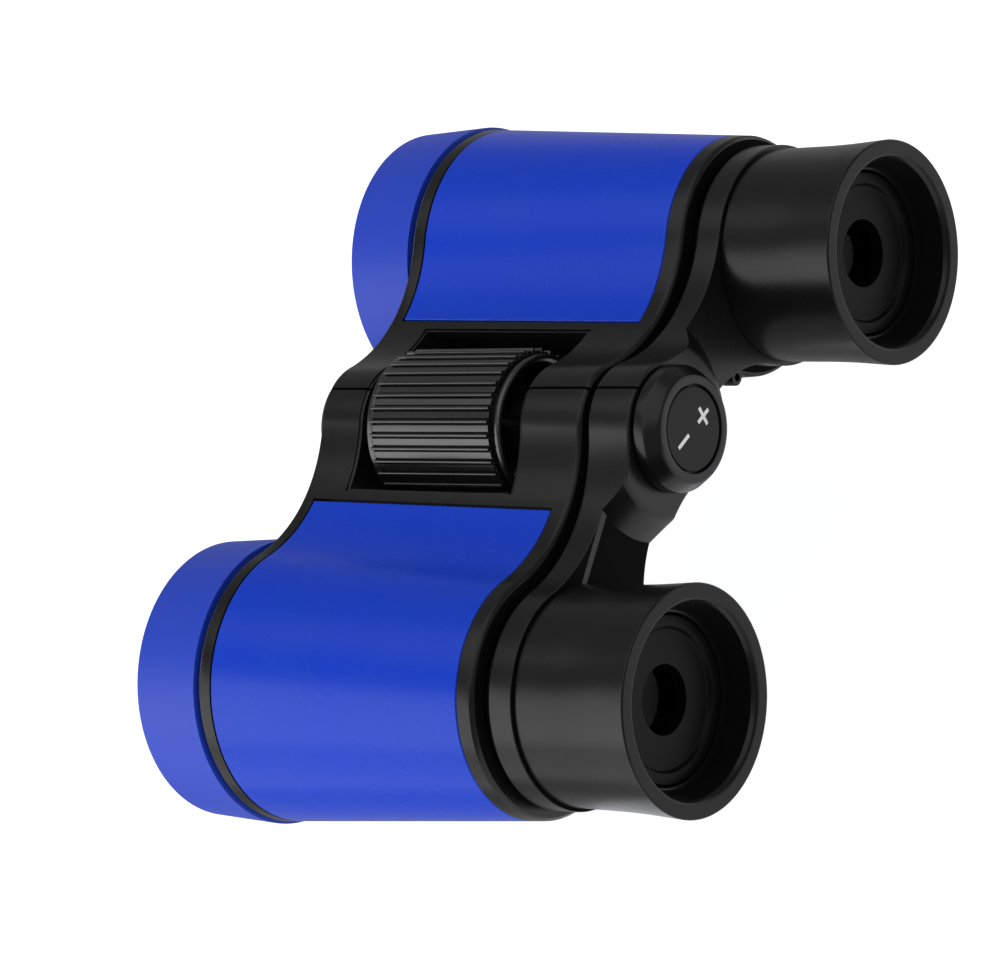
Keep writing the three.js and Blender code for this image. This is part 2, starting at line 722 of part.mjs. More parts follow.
const hingeCap = () =>
  turned([
    [0, RING_BACK],
    [HINGE_CAP_R, RING_BACK],
    [HINGE_CAP_R, RING_BACK + HINGE_CAP_SIDE],
    [HINGE_CAP_R - HINGE_CAP_ROUNDING, RING_BACK + HINGE_CAP_THICK - HINGE_CAP_CROWN],
    [0, RING_BACK + HINGE_CAP_THICK],
  ]);

const thrustWasher = (back) => tube(NUT_R, SPINDLE_R + GAP, back, back + WASHER_THICK);

// ---- Assembly -------------------------------------------------------------------------------

const binoculars = new THREE.Group();
binoculars.name = "binoculars";

function addPart(group, name, solid, { color, roughness, metalness }) {
  const material = new THREE.MeshStandardMaterial({ color, roughness, metalness });
  const mesh = new THREE.Mesh(geometryOf(solid), material);
  mesh.name = name;
  group.add(mesh);
}

const sides = { left: -1, right: 1 };
for (const [hand, side] of Object.entries(sides)) {
  addPart(binoculars, `${hand}_body_shell`, bodyShell(side), BLACK);
  addPart(binoculars, `${hand}_skin_panel`, skinPanel(side), BLUE);
  addPart(binoculars, `${hand}_eyepiece_arm`, eyepieceArm(side), BLACK);

  const barrel = new THREE.Group();
  barrel.position.set(side * BARREL_X, 0, -BARREL_DROP);
  addPart(barrel, `${hand}_front_ring`, frontRing(), BLUE);
  addPart(barrel, `${hand}_objective_lens`, objectiveLens(), GLASS);
  addPart(barrel, `${hand}_objective_retainer`, objectiveRetainer(), SATIN);
  addPart(barrel, `${hand}_draw_tube_seal`, drawTubeSeal(), RUBBER);
  addPart(barrel, `${hand}_eyecup`, eyecup(), SATIN);
  addPart(barrel, `${hand}_ocular_retainer`, ocularRetainer(), SATIN);
  addPart(barrel, `${hand}_ocular_lens`, ocularLens(), GLASS);
  binoculars.add(barrel);
}

addPart(binoculars, "focus_wheel", focusWheel(), BLACK);
addPart(binoculars, "rear_thrust_washer", thrustWasher(WINDOW_BACK + GAP), STEEL);
addPart(binoculars, "front_thrust_washer", thrustWasher(NUT_FRONT + GAP), STEEL);
addPart(binoculars, "hinge_bush", hingeBush(), BRASS);
addPart(binoculars, "hinge_pin", hingePin(), STEEL);
addPart(binoculars, "hinge_cap", hingeCap(), BLACK);
addPart(binoculars, "focus_spindle", focusSpindle(), BRASS);
addPart(binoculars, "hub_screw", hubScrew(), STEEL);
addPart(binoculars, "hub_washer", hubWasher(), STEEL);
addPart(binoculars, "hub_cap", hubCap(), BLACK);
addPart(binoculars, "cap_disc", capDisc(), SATIN);

// The part rests on its front rings, with its origin below its middle.
binoculars.position.set(0, -LENGTH / 2, BARREL_DROP + RING_R);

export default binoculars;
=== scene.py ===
"""Looks of the compact binoculars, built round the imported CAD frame.

Pieces are modelled in millimetres in the hinge frame: the hinge axis is the Y axis, y counts from
the eyecup rims, x to the user's right and z up. place() turns that into the frame's metres.
"""

import json
import math

import bmesh
import bpy
from mathutils import Matrix, Vector


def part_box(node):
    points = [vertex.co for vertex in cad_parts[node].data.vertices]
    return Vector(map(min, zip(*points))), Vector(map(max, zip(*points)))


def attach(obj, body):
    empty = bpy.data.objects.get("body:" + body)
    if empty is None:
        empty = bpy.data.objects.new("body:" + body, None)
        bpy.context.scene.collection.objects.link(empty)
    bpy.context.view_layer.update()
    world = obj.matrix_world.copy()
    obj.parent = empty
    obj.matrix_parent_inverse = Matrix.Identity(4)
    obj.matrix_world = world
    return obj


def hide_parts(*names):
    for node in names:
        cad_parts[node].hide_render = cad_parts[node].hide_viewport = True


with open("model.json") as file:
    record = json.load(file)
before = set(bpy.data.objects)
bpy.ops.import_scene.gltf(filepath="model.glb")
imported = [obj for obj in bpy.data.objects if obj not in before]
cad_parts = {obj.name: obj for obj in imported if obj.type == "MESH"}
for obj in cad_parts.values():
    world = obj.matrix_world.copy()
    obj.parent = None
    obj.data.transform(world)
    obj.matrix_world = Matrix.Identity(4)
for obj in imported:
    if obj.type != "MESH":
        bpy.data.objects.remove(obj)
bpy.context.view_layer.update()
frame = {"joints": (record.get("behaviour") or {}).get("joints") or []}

# ---- Sizes taken from the frame -------------------------------------------------------------

MM = 0.001
HINGE = Vector(frame["joints"][0]["pos_m"])
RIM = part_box("left_eyecup")[0].y


def station(node, corner):
    """How far a node's back (corner 0) or front (corner 1) lies from the eyecup rims, in mm."""
    return (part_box(node)[corner].y - RIM) / MM


def half_width(node):
    low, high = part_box(node)
    return (high.x - low.x) / 2 / MM


def middle(node):
    low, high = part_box(node)
    return (low + high) / 2


BARREL_X = middle("right_eyecup").x / MM
BARREL_DROP = (HINGE.z - middle("right_eyecup").z) / MM
BODY_BACK, BODY_FRONT = station("right_body_shell", 0), station("right_body_shell", 1)
PANEL_BACK, PANEL_FRONT = station("right_skin_panel", 0), station("right_skin_panel", 1)
RING_FRONT = station("right_front_ring", 1)
ARM_FRONT_TUBE = station("right_eyepiece_arm", 1)
WHEEL_HUB_BACK, WHEEL_HUB_FRONT = station("focus_wheel", 0), station("focus_wheel", 1)
CAP_BACK = station("hub_cap", 0)
CAP_FRONT = station("hub_cap", 1)
DISC_BACK = station("cap_disc", 0)
RING_R = half_width("right_front_ring")
RIM_R = half_width("right_eyecup")
LENS_R = half_width("right_objective_lens")
OCULAR_R = half_width("right_ocular_lens")
WHEEL_R = half_width("focus_wheel")
DISC_R = half_width("cap_disc")

# ---- Sizes of the moulded shapes, as in the CAD ---------------------------------------------

HINGE_R = 8.5
UPPER_HOLLOW_R = 20
LOWER_HOLLOW_R = 16
SLIT = 0.2
UNDERCUT = math.radians(26)
BODY_BACK_R = 15.5
BODY_FRONT_R = 17.95
WINDOW_BACK, WINDOW_FRONT, WINDOW_X = 31.6, 57.9, 12.6
PANEL_THICK = 1.0
PANEL_INNER_X = 14.6
PANEL_END = math.radians(-130)
GAP = 0.3
ARM_BACK, ARM_FRONT, ARM_RING_R = 17.05, 20.9, 14.15
BOSS_BACK = CAP_FRONT + GAP
BOSS_BACK_R, BOSS_FOOT_R = 11.0, 14.1
KNUCKLE_R = 6.9
DRAW_TUBE_R, SPIGOT_R = 12.5, 12.3
SPINDLE_R = 2.7
BUSH_R, PIN_R, PIN_HEAD_R = 4.6, 3.2, 4.6
CUP_R, RIM_INNER_R, CUP_BORE_R, CUP_DEPTH = 13.62, 12.25, 11.8, 4.2
RIM_BEVEL, RIM_EDGE, CUP_BORE_TAPER, CUP_FLARE_END = 0.7, 0.15, 0.7, 7

# How finely curves are divided.
SEGMENTS = 160
HINGE_STEPS, HOLLOW_STEPS, BARREL_STEPS = 20, 40, 120
SKIN_FLANK_STEPS, SKIN_STEPS = 24, 110
CORNER_STEPS, LENS_STEPS = 4, 24


# ---- Mesh tools -----------------------------------------------------------------------------


def place(x, y, z):
    return (x * MM + HINGE.x, y * MM + RIM, z * MM + HINGE.z)


def mesh_object(name, points, faces):
    mesh = bpy.data.meshes.new(name)
    mesh.from_pydata([place(*p) for p in points], [], faces)
    bm = bmesh.new()
    bm.from_mesh(mesh)
    bmesh.ops.remove_doubles(bm, verts=bm.verts, dist=1e-7)
    bmesh.ops.recalc_face_normals(bm, faces=bm.faces)
    bm.to_mesh(mesh)
    bm.free()
    obj = bpy.data.objects.new(name, mesh)
    bpy.context.scene.collection.objects.link(obj)
    return obj


def apply_modifiers(obj):
    depsgraph = bpy.context.evaluated_depsgraph_get()
    mesh = bpy.data.meshes.new_from_object(obj.evaluated_get(depsgraph))
    obj.modifiers.clear()
    obj.data = mesh
    return obj


def combine(obj, tool, operation):
    """Joins tool to obj, or cuts it away, and deletes tool."""
    modifier = obj.modifiers.new("combine", "BOOLEAN")
    modifier.operation = operation
    modifier.solver = "MANIFOLD"
    modifier.object = tool
    apply_modifiers(obj)
    bpy.data.objects.remove(tool)
    return obj


def add(obj, tool):
    return combine(obj, tool, "UNION")


def cut(obj, tool):
    return combine(obj, tool, "DIFFERENCE")


def keep_common(obj, tool):
    return combine(obj, tool, "INTERSECT")


def softened(profile, radius):
    """A closed outline with its corners rounded by short curves. Points on the axis stay sharp."""
    out = []
    count = len(profile)
    for i, point in enumerate(profile):
        here = Vector(point[:2])
        before, after = Vector(profile[i - 1][:2]), Vector(profile[(i + 1) % count][:2])
        wanted = point[2] if len(point) > 2 else radius
        room = min((here - before).length, (after - here).length) * 0.48
        reach = min(wanted, room)
        if here.x == 0 or reach < 0.01:
            out.append(tuple(here))
            continue
        start = here + (before - here).normalized() * reach
        end = here + (after - here).normalized() * reach
        for k in range(CORNER_STEPS + 1):
            t = k / CORNER_STEPS
            out.append(tuple(start * (1 - t) ** 2 + here * 2 * t * (1 - t) + end * t**2))
    return out


def turned(name, profile, side=0, radius=0.0):
    """A solid of revolution about a barrel's axis (side -1 or 1) or the hinge's (side 0).

    The profile's points are (r, y), or (r, y, corner radius) where it isn't the common radius.
    """
    outline = softened(profile, radius) if radius or any(len(p) > 2 for p in profile) else profile
    cx, cz = side * BARREL_X, -BARREL_DROP if side else 0.0
    points, rings = [], []
    for r, y in outline:
        count = SEGMENTS if r > 0 else 1
        rings.append(list(range(len(points), len(points) + count)))
        for k in range(count):
            angle = 2 * math.pi * k / SEGMENTS
            points.append((cx + r * math.cos(angle), y, cz + r * math.sin(angle)))
    faces = []
    for ring, following in zip(rings, rings[1:] + rings[:1]):
        for k in range(SEGMENTS):
            corners = [ring[k % len(ring)], ring[(k + 1) % len(ring)]]
            corners += [following[(k + 1) % len(following)], following[k % len(following)]]
            unique = list(dict.fromkeys(corners))
            if len(unique) > 2:
                faces.append(unique)
    return mesh_object(name, points, faces)


def tube(name, outer, inner, back, front, radius):
    """A tube about the hinge axis."""
    return turned(name, [(inner, back), (outer, back), (outer, front), (inner, front)], 0, radius)


def rod(name, r, back, front, radius=0.0):
    """A rod about the hinge axis."""
    return turned(name, [(0, back), (r, back), (r, front), (0, front)], 0, radius)


def stack(name, sections):
    """A solid through (y, outline) sections, each outline with as many (x, z) points."""
    count = len(sections[0][1])
    points = [(x, y, z) for y, outline in sections for x, z in outline]
    last = len(points) - count
    faces = [list(range(count)), [last + i for i in reversed(range(count))]]
    for base in range(0, last, count):
        for i in range(count):
            j = (i + 1) % count
            faces.append([base + i, base + j, base + j + count, base + i + count])
    return mesh_object(name, points, faces)


def prism(name, outline, back, front):
    return stack(name, [(back, outline), (front, outline)])


def block(name, x0, x1, y0, y1, z0, z1):
    return prism(name, [(x0, z0), (x1, z0), (x1, z1), (x0, z1)], y0, y1)


def bevelled(obj, width, segments, angle=35):
    """Rounds the edges that turn by more than this many degrees."""
    modifier = obj.modifiers.new("bevel", "BEVEL")
    modifier.width = width * MM
    modifier.segments = segments
    modifier.limit_method = "ANGLE"
    modifier.angle_limit = math.radians(angle)
    modifier.miter_outer = "MITER_ARC"
    modifier.use_clamp_overlap = True
    return apply_modifiers(obj)


def shaded(obj, angle):
    """Smooth shading in which the large faces decide the direction at shared edges."""
    obj.data.shade_smooth()
    obj.data.set_sharp_from_angle(angle=math.radians(angle))
    modifier = obj.modifiers.new("shading", "WEIGHTED_NORMAL")
    modifier.weight = 90
    modifier.keep_sharp = True
    return apply_modifiers(obj)


# ---- Outlines of one half, seen from behind -------------------------------------------------


def polar(r, angle):
    return r * math.cos(angle), r * math.sin(angle)


def arc(cx, cz, r, start, end, steps):
    angles = [start + (end - start) * i / steps for i in range(steps + 1)]
    return [(cx + r * math.cos(angle), cz + r * math.sin(angle)) for angle in angles]


def hollow_centre(barrel_r, hollow_r, up):
    """Centre of the hollow that touches the hinge circle and the barrel circle of the right half."""
    span = math.hypot(BARREL_X, BARREL_DROP)
    to_hinge, to_barrel = HINGE_R + hollow_r, barrel_r + hollow_r
    along = (to_hinge**2 - to_barrel**2 + span**2) / (2 * span)
    across = up * math.sqrt(to_hinge**2 - along**2)
    ux, uz = BARREL_X / span, -BARREL_DROP / span
    return along * ux - across * uz, along * uz + across * ux


def hollow_run(barrel_r, hollow_r, up, inset):
    """Points over the wing, and the angles where they leave the hinge and meet the barrel."""
    cx, cz = hollow_centre(barrel_r, hollow_r, up)
    start = math.atan2(-cz, -cx)
    end = math.atan2(-BARREL_DROP - cz, BARREL_X - cx)
    points = arc(cx, cz, hollow_r + inset, start, end, HOLLOW_STEPS)
    return points, math.atan2(cz, cx), math.atan2(cz + BARREL_DROP, cx - BARREL_X)


def half_outline(side, barrel_r, inset):
    """Hinge sector, wing and barrel as one outline; side is 1 for the right half, -1 for the left."""
    top, hinge_angle, barrel_top = hollow_run(barrel_r, UPPER_HOLLOW_R, 1, inset)
    bottom, _, barrel_bottom = hollow_run(barrel_r, LOWER_HOLLOW_R, -1, inset)
    outline = [(0, 0)]
    outline += arc(0, 0, HINGE_R - inset, math.pi / 2, hinge_angle, HINGE_STEPS)
    outline += top[1:]
    outline += arc(BARREL_X, -BARREL_DROP, barrel_r - inset, barrel_top, barrel_bottom, BARREL_STEPS)[1:]
    outline += bottom[::-1][1:]
    return [(x * side, z) for x, z in outline]


def chamfered_ends(back, front, size):
    """(y, inset) pairs along a solid whose two ends have a flat chamfer with softened edges."""
    near = [(0, size), (0.1 * size, size * 0.8), (0.85 * size, size * 0.12), (1.15 * size, 0)]
    return [(back + dy, inset) for dy, inset in near] + [(front - dy, inset) for dy, inset in near[::-1]]


def rounded_ends(back, front, back_radius, front_radius):
    """(y, inset) pairs along a solid whose two ends are rounded over."""
    turns = [math.pi / 2 * i / CORNER_STEPS for i in range(CORNER_STEPS + 1)]
    curve = [(1 - math.cos(a), 1 - math.sin(a)) for a in turns]
    ends = [(back + dy * back_radius, inset * back_radius) for dy, inset in curve]
    return ends + [(front - dy * front_radius, inset * front_radius) for dy, inset in curve[::-1]]


def beyond_x(points, x_start, steps):
    """The part of a run of points beyond x_start, at even steps of x."""
    out = []
    for i in range(steps + 1):
        x = x_start + (points[-1][0] - x_start) * i / steps
        k = next((k for k in range(1, len(points)) if points[k][0] >= x - 1e-9), len(points) - 1)
        (x0, z0), (x1, z1) = points[k - 1], points[k]
        out.append((x, z0 + (z1 - z0) * (x - x0) / (x1 - x0)))
    return out


def skin_outline(side, barrel_r, outset, depth, inner_x, end):
    """The skin over the wing and round the barrel, between two depths below the surface."""

    def run(inset):
        points, _, barrel_top = hollow_run(barrel_r, UPPER_HOLLOW_R, 1, inset)
        round_barrel = arc(BARREL_X, -BARREL_DROP, barrel_r - inset, barrel_top, end, SKIN_STEPS)
        return beyond_x(points, inner_x, SKIN_FLANK_STEPS) + round_barrel[1:]

    return [(x * side, z) for x, z in run(-outset) + run(depth)[::-1]]


def body_radius(y):
    return BODY_BACK_R + (BODY_FRONT_R - BODY_BACK_R) * (y - BODY_BACK) / (BODY_FRONT - BODY_BACK)


# ---- Finishes -------------------------------------------------------------------------------


class Finish:
    """A Principled material with the noise that varies its colour, roughness and surface."""

    def __init__(self, name, color, roughness, **sockets):
        self.material = bpy.data.materials.new(name)
        self.material.use_nodes = True
        self.nodes = self.material.node_tree.nodes
        self.links = self.material.node_tree.links
        self.shader = self.nodes["Principled BSDF"]
        self.shader.inputs["Base Color"].default_value = (*color, 1)
        self.shader.inputs["Roughness"].default_value = roughness
        for socket, value in sockets.items():
            self.shader.inputs[socket].default_value = value
        self.color = color
        self.coords = self.nodes.new("ShaderNodeTexCoord").outputs["Object"]

    def node(self, kind, **values):
        made = self.nodes.new(kind)
        for key, value in values.items():
            if key in made.inputs:
                made.inputs[key].default_value = value
            else:
                setattr(made, key, value)
        return made

    def noise(self, per_metre, detail=4.0, stretch=(1, 1, 1)):
        mapping = self.node("ShaderNodeMapping", Scale=stretch)
        self.links.new(self.coords, mapping.inputs["Vector"])
        made = self.node("ShaderNodeTexNoise", Scale=per_metre, Detail=detail)
        self.links.new(mapping.outputs["Vector"], made.inputs["Vector"])
        return made.outputs["Fac"]

    def spread(self, factor, low, high, start=0.3, end=0.7):
        made = self.node("ShaderNodeMapRange")
        made.inputs["From Min"].default_value = start
        made.inputs["From Max"].default_value = end
        made.inputs["To Min"].default_value = low
        made.inputs["To Max"].default_value = high
        self.links.new(factor, made.inputs["Value"])
        return made.outputs["Result"]

    def vary_color(self, factor, other):
        mix = self.node("ShaderNodeMix", data_type="RGBA")
        mix.inputs["A"].default_value = (*self.color, 1)
        mix.inputs["B"].default_value = (*other, 1)
        self.links.new(factor, mix.inputs["Factor"])
        self.links.new(mix.outputs["Result"], self.shader.inputs["Base Color"])

    def vary_roughness(self, factor, low, high):
        self.links.new(self.spread(factor, low, high), self.shader.inputs["Roughness"])

    def bumps(self, *layers):
        """Layers of (factor, height in metres) stacked as bump maps."""
        normal = None
        for factor, height in layers:
            bump = self.node("ShaderNodeBump", Strength=1.0, Distance=height)
            self.links.new(factor, bump.inputs["Height"])
            if normal:
                self.links.new(normal, bump.inputs["Normal"])
            normal = bump.outputs["Normal"]
        self.links.new(normal, self.shader.inputs["Normal"])


def grey(level):
    return level, level, level


def moulded(name, color, other, roughness, grain, gloss=0.5):
    """Moulded plastic: cloudy colour, uneven polish, fine grain and faint rubbed lines."""
    made = Finish(name, color, roughness, **{"Specular IOR Level": gloss})
    made.vary_color(made.spread(made.noise(60), 0, 1), other)
    made.vary_roughness(made.noise(240, 3), roughness - 0.012, roughness + 0.012)
    fine, rubbed, broad = made.noise(5200, 2), made.noise(900, 3, (1, 0.06, 1)), made.noise(90, 1)
    made.bumps((fine, grain), (rubbed, grain * 0.4), (broad, 1.5e-6))
    return made.material


def turned_metal(name, color, roughness):
    """Metal from a lathe: fine rings across the axis and patches of handling."""
    made = Finish(name, color, roughness, Metallic=1.0)
    made.vary_roughness(made.noise(500, 4, (1, 8, 1)), roughness - 0.08, roughness + 0.1)
    made.vary_color(made.spread(made.noise(120), 0, 0.6), tuple(c * 0.75 for c in color))
    made.bumps((made.noise(2500, 2, (0.1, 10, 0.1)), 6e-6))
    return made.material


BLUE = moulded("blue_plastic", (0.003, 0.043, 0.56), (0.005, 0.048, 0.53), 0.27, 1.2e-6, 0.18)
RING_BLUE = moulded("ring_plastic", (0.010, 0.047, 0.52), (0.014, 0.052, 0.49), 0.48, 2.0e-6, 0.32)
BLACK = moulded("black_plastic", (0.0045, 0.0045, 0.0047), (0.006, 0.006, 0.0062), 0.27, 1.2e-6, 0.26)
SATIN = moulded("satin_black_plastic", grey(0.004), grey(0.0055), 0.27, 3.0e-6, 0.24)
CUP_RIM = moulded("cup_rim_plastic", grey(0.004), grey(0.0055), 0.3, 3.0e-6, 0.14)
RETAINER = moulded("retainer_plastic", grey(0.0028), grey(0.004), 0.35, 3.0e-6, 0.07)
RIBBED = moulded("wheel_plastic", grey(0.006), grey(0.009), 0.22, 1.5e-6, 0.7)
DISC = moulded("disc_plastic", grey(0.010), grey(0.013), 0.45, 2.0e-6, 0.12)
# A darker, duller copy of the black for faces in recesses: partly matt black, partly painted shade.
MATT_AND_SHADE = moulded("matt_inside_and_painted_shade", grey(0.003), grey(0.004), 0.85, 2.0e-6, 0.05)
PRINT = moulded("white_print", (0.80, 0.80, 0.78), (0.70, 0.70, 0.69), 0.50, 4.0e-6)
RUBBER = moulded("seal_rubber", grey(0.010), (0.016, 0.016, 0.015), 0.75, 6.0e-6, 0.2)
STEEL = turned_metal("steel", (0.50, 0.50, 0.51), 0.32)
BRASS = turned_metal("brass", (0.60, 0.44, 0.20), 0.34)


def glass(name, tint, index):
    """Glass with faint smears. A low index keeps the pictures of the studio in it dim."""
    made = Finish(name, tint, 0.02, IOR=index)
    made.shader.inputs["Transmission Weight"].default_value = 1.0
    made.vary_roughness(made.noise(160, 5, (1, 1, 3)), 0.01, 0.02)
    made.bumps((made.noise(90, 2), 2.0e-7))
    return made.material


GLASS = glass("lens_glass", (0.93, 0.96, 0.97), 1.3)
# The eyepiece glass is tinted nearly black: painted shade for the dark inside of the barrel behind it.
EYE_GLASS_PAINTED_SHADE = glass("eye_glass_painted_shade", (0.14, 0.145, 0.15), 1.12)


def matt_and_shade_inside(obj, side, r):
    """The faces that look at the barrel's axis from within r of it get a darker matt finish: partly the matt
    black of the insides, partly painted shade in these recesses.
    """
    obj.data.materials.append(MATT_AND_SHADE)
    axis_x, axis_z = side * BARREL_X * MM + HINGE.x, HINGE.z - BARREL_DROP * MM
    for face in obj.data.polygons:
        out = Vector((face.center.x - axis_x, 0, face.center.z - axis_z))
        if out.length < r * MM and face.normal.dot(out) < 0:
            face.material_index = 1
    return obj


def matt_and_shade_window_walls(obj):
    """The faces of the window's side walls get the same darker matt finish, as painted shade in the window's
    recess.
    """
    for face in obj.data.polygons:
        x, y = (face.center.x - HINGE.x) / MM, (face.center.y - RIM) / MM
        beside = WINDOW_X - 0.1 < abs(x) < WINDOW_X + 2 and WINDOW_BACK < y < WINDOW_FRONT
        if beside and face.normal.x * x < 0 and abs(face.normal.x) > 0.6:
            face.material_index = 1
    return obj


def finished(obj, material, body, nodes, angle=28):
    """Gives a piece its material, its shading and its body, and hides the CAD nodes it stands for."""
    obj.data.materials.clear()
    obj.data.materials.append(material)
    shaded(obj, angle)
    if nodes:
        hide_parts(*nodes)
    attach(obj, body)
    return obj


# ---- Hinge shapes ---------------------------------------------------------------------------

REACH = 40.0
KNUCKLES = (  # back, split, front, the sides that own the two stretches, radius of the bore
    (BODY_BACK, (BODY_BACK + WINDOW_BACK) / 2, WINDOW_BACK, (-1, 1), BUSH_R + GAP),
    (WINDOW_FRONT, (BODY_FRONT + WINDOW_FRONT) / 2, BODY_FRONT, (1, -1), PIN_R + GAP),
)


def hinge_free(side, back, front):
    """What one half leaves free: the slit on top of the hinge and the angle below it."""
    down = -math.pi / 2
    wedge = [(0, 0), polar(REACH, down + UNDERCUT), polar(REACH, down - UNDERCUT)]
    free = prism("free", [(x * side, z) for x, z in wedge], back, front)
    inner, outer = sorted((-REACH * side, SLIT * side))
    return add(free, block("slit", inner, outer, back, front, 0, REACH))


def with_knuckles(half, side, stretches, bore_r):
    """Own inner knuckle over one stretch, and room for the neighbour's over the other."""
    for owner, back, front in stretches:
        if owner == side:
            half = add(half, rod("knuckle", KNUCKLE_R, back, front, 0.25))
        else:
            half = cut(half, rod("room", KNUCKLE_R + GAP, back - GAP, front + GAP))
    first, last = stretches[0][1], stretches[-1][2]
    return cut(half, rod("bore", bore_r, first - 1, last + 1))


# ---- The body halves ------------------------------------------------------------------------

CHAMBER_BACK, CHAMBER_BACK_R, CHAMBER_FRONT_R = 25, 13, 14.9
SOCKET_BACK, SOCKET_R = 59.5, 15.45
SEAL_BACK, SEAL_FRONT, SEAL_R, SEAL_CLEARANCE = 22.9, 24.1, 13.4, 0.2
BODY_CHAMFER = 0.5
LIP_WIDTH, LIP_DEPTH = 0.45, 0.18
PLATE, PLATE_UNDERCUT = 1.5, 1.4


def body_block(side):
    ends = chamfered_ends(BODY_BACK, BODY_FRONT, BODY_CHAMFER)
    return stack("body", [(y, half_outline(side, body_radius(y), inset)) for y, inset in ends])


def body_core(side, depth):
    """What lies deeper than this below the body's surface, and on past both ends."""
    ends = (BODY_BACK - 2, BODY_FRONT + 2)
    return stack("core", [(y, half_outline(side, body_radius(y), depth)) for y in ends])


def window_lip(side):
    """Shallow step round the window's mouth."""
    lip = block("lip", -WINDOW_X - LIP_WIDTH, WINDOW_X + LIP_WIDTH,
                WINDOW_BACK - LIP_WIDTH, WINDOW_FRONT + LIP_WIDTH, 0, REACH)
    return cut(lip, body_core(side, LIP_DEPTH))


def hollow_under_plate(side):
    """Beside the window the moulding is a plate over a hollow."""
    start, end = sorted((side * (WINDOW_X - 1), side * (WINDOW_X + PLATE_UNDERCUT)))
    hollow = block("under_plate", start, end, WINDOW_BACK + 1, WINDOW_FRONT - 1, -3, REACH)
    return keep_common(hollow, body_core(side, PLATE))


def barrel_hollow(side):
    guide, groove = DRAW_TUBE_R + GAP, SEAL_R + GAP
    mouth = guide + 0.5
    profile = [(0, BODY_BACK - 1), (mouth, BODY_BACK - 1), (mouth, BODY_BACK), (guide, BODY_BACK + 0.5)]
    profile += [(guide, SEAL_BACK - GAP / 2), (groove, SEAL_BACK - GAP / 2), (groove, SEAL_FRONT + GAP / 2)]
    profile += [(guide, SEAL_FRONT + GAP / 2), (CHAMBER_BACK_R, CHAMBER_BACK), (CHAMBER_FRONT_R, SOCKET_BACK)]
    profile += [(SOCKET_R, SOCKET_BACK), (SOCKET_R, BODY_FRONT + 1), (0, BODY_FRONT + 1)]
    return turned("hollow", profile, side)


LUG_ANGLE, LUG_HALF_ANGLE = math.radians(204), math.radians(6)
LUG_HOLE_R, LUG_WALL, LUG_REACH, LUG_ROOT = 0.55, 0.55, 0.5, 1
LUG_BACK, LUG_FRONT = BODY_BACK + 0.2, BODY_BACK + 2.4


def strap_lug(side):
    """Eye for a neck cord under the barrel, and the hole through it."""
    cx, cz = polar(BODY_BACK_R + LUG_REACH, LUG_ANGLE)
    quarter = math.pi / 2
    eye = arc(cx, cz, LUG_HOLE_R + LUG_WALL, LUG_ANGLE - quarter, LUG_ANGLE + quarter, 32)
    for angle in (LUG_ANGLE + LUG_HALF_ANGLE, LUG_ANGLE - LUG_HALF_ANGLE):
        eye.append(polar(BODY_BACK_R - LUG_ROOT, angle))
    hole = arc(cx, cz, LUG_HOLE_R, 0, 2 * math.pi * 31 / 32, 31)

    def shifted(points):
        return [((BARREL_X + x) * side, z - BARREL_DROP) for x, z in points]

    tab = bevelled(prism("lug", shifted(eye), LUG_BACK, LUG_FRONT), 0.25, 3)
    return tab, prism("lug_hole", shifted(hole), LUG_BACK - 1, LUG_FRONT + 1)


def panel_recess(side):
    room = PANEL_THICK + GAP
    inner_x, end = PANEL_INNER_X - GAP, PANEL_END - math.radians(1)
    ends = (PANEL_BACK - GAP / 2, PANEL_FRONT + GAP / 2)
    return stack("recess", [(y, skin_outline(side, body_radius(y), 1, room, inner_x, end)) for y in ends])


def body_shell(hand, side):
    body = body_block(side)
    body = cut(body, window_lip(side))
    body = cut(body, hinge_free(side, BODY_BACK - 1, BODY_FRONT + 1))
    body = cut(body, block("window", -WINDOW_X, WINDOW_X, WINDOW_BACK, WINDOW_FRONT, -REACH, REACH))
    body = cut(body, hollow_under_plate(side))
    for back, split, front, owners, bore in KNUCKLES:
        stretches = [(owners[0], back, split - GAP / 2), (owners[1], split + GAP / 2, front)]
        body = with_knuckles(body, side, stretches, bore)
    body = cut(body, rod("counterbore", PIN_HEAD_R + GAP, BODY_FRONT - 2, BODY_FRONT + 1))
    body = cut(body, panel_recess(side))
    body = cut(body, barrel_hollow(side))
    tab, hole = strap_lug(side)
    body = cut(add(body, tab), hole)
    body = bevelled(body, 0.14, 2, 40)
    body.name = f"shell_{hand}"
    body = finished(body, BLACK, f"{hand}_half", [f"{hand}_body_shell"])
    return matt_and_shade_window_walls(matt_and_shade_inside(body, side, SOCKET_R + 0.1))


def skin_panel(hand, side):
    """The blue skin. Like the blue ring it isn't mirrored, as the photo's black plastic shows no blue."""

    def section(y):
        return y, skin_outline(side, body_radius(y), 0, PANEL_THICK, PANEL_INNER_X, PANEL_END)

    panel = bevelled(stack(f"panel_{hand}", [section(PANEL_BACK), section(PANEL_FRONT)]), 0.2, 3, 40)
    panel.visible_glossy = False
    return finished(panel, BLUE, f"{hand}_half", [f"{hand}_skin_panel"])


LENS_SEAT, LENS_EDGE_FRONT, RETAINER_FRONT = 68.7, 71.2, 72.9
RING_BORE_R, HOOD_R = 13.9, 15.6
RING_BACK = BODY_FRONT + GAP
RING_FRONT_R = 17.75
OBJECTIVE_RISE = 1.9


